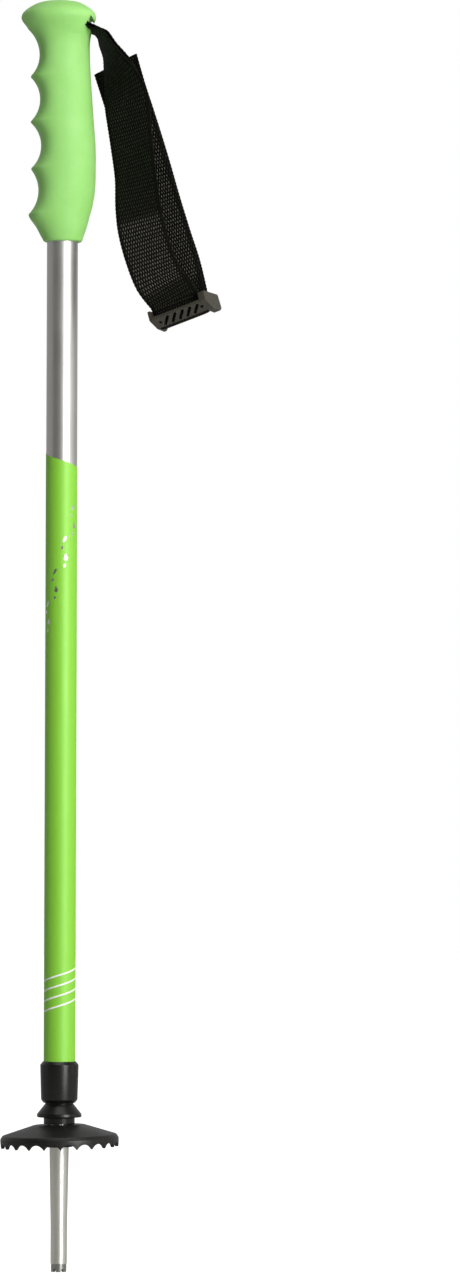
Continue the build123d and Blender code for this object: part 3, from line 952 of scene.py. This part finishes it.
def slot_layer(side):
    """The webbing's way out of the slot, in its lower (-1) or its upper (1) layer.

    After the pin, its rows are (outward, upward from the slot's middle, sag, width).
    """
    round_pin = [(x, y, ROOT_WIDTH) for x, y in arc((0, 0), PIN_WRAP_R, 180, 180 - 80 * side, 5)]
    on = [
        (4.2, 1.3, 0, ROOT_WIDTH),
        (8.0, 0.78, -0.5, ROOT_WIDTH - 1.0),
        (12.0, 0.76, -0.9, ROOT_WIDTH - 0.6),
        (ROOT_END, 0.76, -0.7, ROOT_WIDTH + 2.0),
    ]
    return in_slot(round_pin + [(x, y * side + sag, width) for x, y, sag, width in on])


def build_strap():
    root_low, root_high = slot_layer(-1), slot_layer(1)
    under_plate = [(2.7, 1.9), (3.6, 0.1), (4.6, -1.9)]
    front = root_low + facing(FRONT_ROUTE, root_low[-1][:3], in_buckle(*under_plate[0]))
    front += across_buckle(under_plate)
    # Painted light on the front strand from 542 down to 506 mm, between where the grip's shadow
    # and the buckle's would fall.
    strap_front, front_length = web_strip("strap_front_web", front, bow=-0.5, painted_light_band=(542, 506))
    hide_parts("strap_root", "strap_front")
    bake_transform(strap_front)

    eye = [(11.3, 3.3), (12.2, 0.5)] + arc(BAR_AT, 2.3, 20, -200, 8)
    eye += [(8.9, -1.6), (9.7, 0.8), (9.8, 3.0)]
    rear = root_high + facing(REAR_ROUTE, root_high[-1][:3], in_buckle(*eye[0]))
    rear += across_buckle(eye)
    # Painted light on the rear strand from 607 down to 508 mm.
    strap_rear, rear_length = web_strip(
        "strap_rear_web", rear, phase=3.1, bow=0.4, painted_light_band=(607, 508)
    )
    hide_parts("strap_rear", "strap_eye")
    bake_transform(strap_rear)

    wrap = [(5.0, -2.6), (5.9, -4.4)] + arc(BAR_AT, 3.85, 205, 350, 9)
    wrap += [(14.15, -2.6), (14.2, 0.0), (14.2, 1.9)]
    tail = across_buckle(wrap)
    last = np.array(TAIL_ROUTE[-1][:3], float)
    beyond = last + (last - np.array(TAIL_ROUTE[-2][:3], float))
    tail += facing(TAIL_ROUTE, in_buckle(*wrap[-1]), beyond, down=-1)
    strap_tail, tail_length = web_strip("strap_tail_web", tail, phase=front_length + 0.9, bow=0.3)
    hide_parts("strap_wrap", "strap_tail")
    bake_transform(strap_tail)


build_strap()


# ---- CAD pieces that keep their shape ------------------------------------------


def dress(node, material, bevel=0.0):
    """Gives a CAD node's object a finished material, and softened edges."""
    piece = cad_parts[node]
    piece.data.materials.clear()
    piece.data.materials.append(material)
    if bevel:
        modifier = piece.modifiers.new("edges", "BEVEL")
        modifier.width = bevel * MM
        modifier.segments = 2
        modifier.limit_method = "ANGLE"
        modifier.angle_limit = radians(35)
        modifier.harden_normals = True


BUCKLE_BROWN = moulded_plastic(
    "buckle_plastic", (0.044, 0.038, 0.028), (0.070, 0.062, 0.047), 0.45, grain=0.01
)
dress("shaft_tube", drawn_aluminium())
dress("shaft_plug", BLACK)
dress("stem_bush", BLACK)
dress("buckle_frame", BUCKLE_BROWN, 0.22)
dress("stem", turned_metal("stem_metal", (0.76, 0.76, 0.67), (0.84, 0.84, 0.76), 0.36))
dress("crown_tip", turned_metal("hard_steel", (0.34, 0.34, 0.31), (0.46, 0.46, 0.42), 0.26))
dress("strap_pin", turned_metal("pin_steel", (0.4, 0.4, 0.4), (0.6, 0.6, 0.6), 0.3))
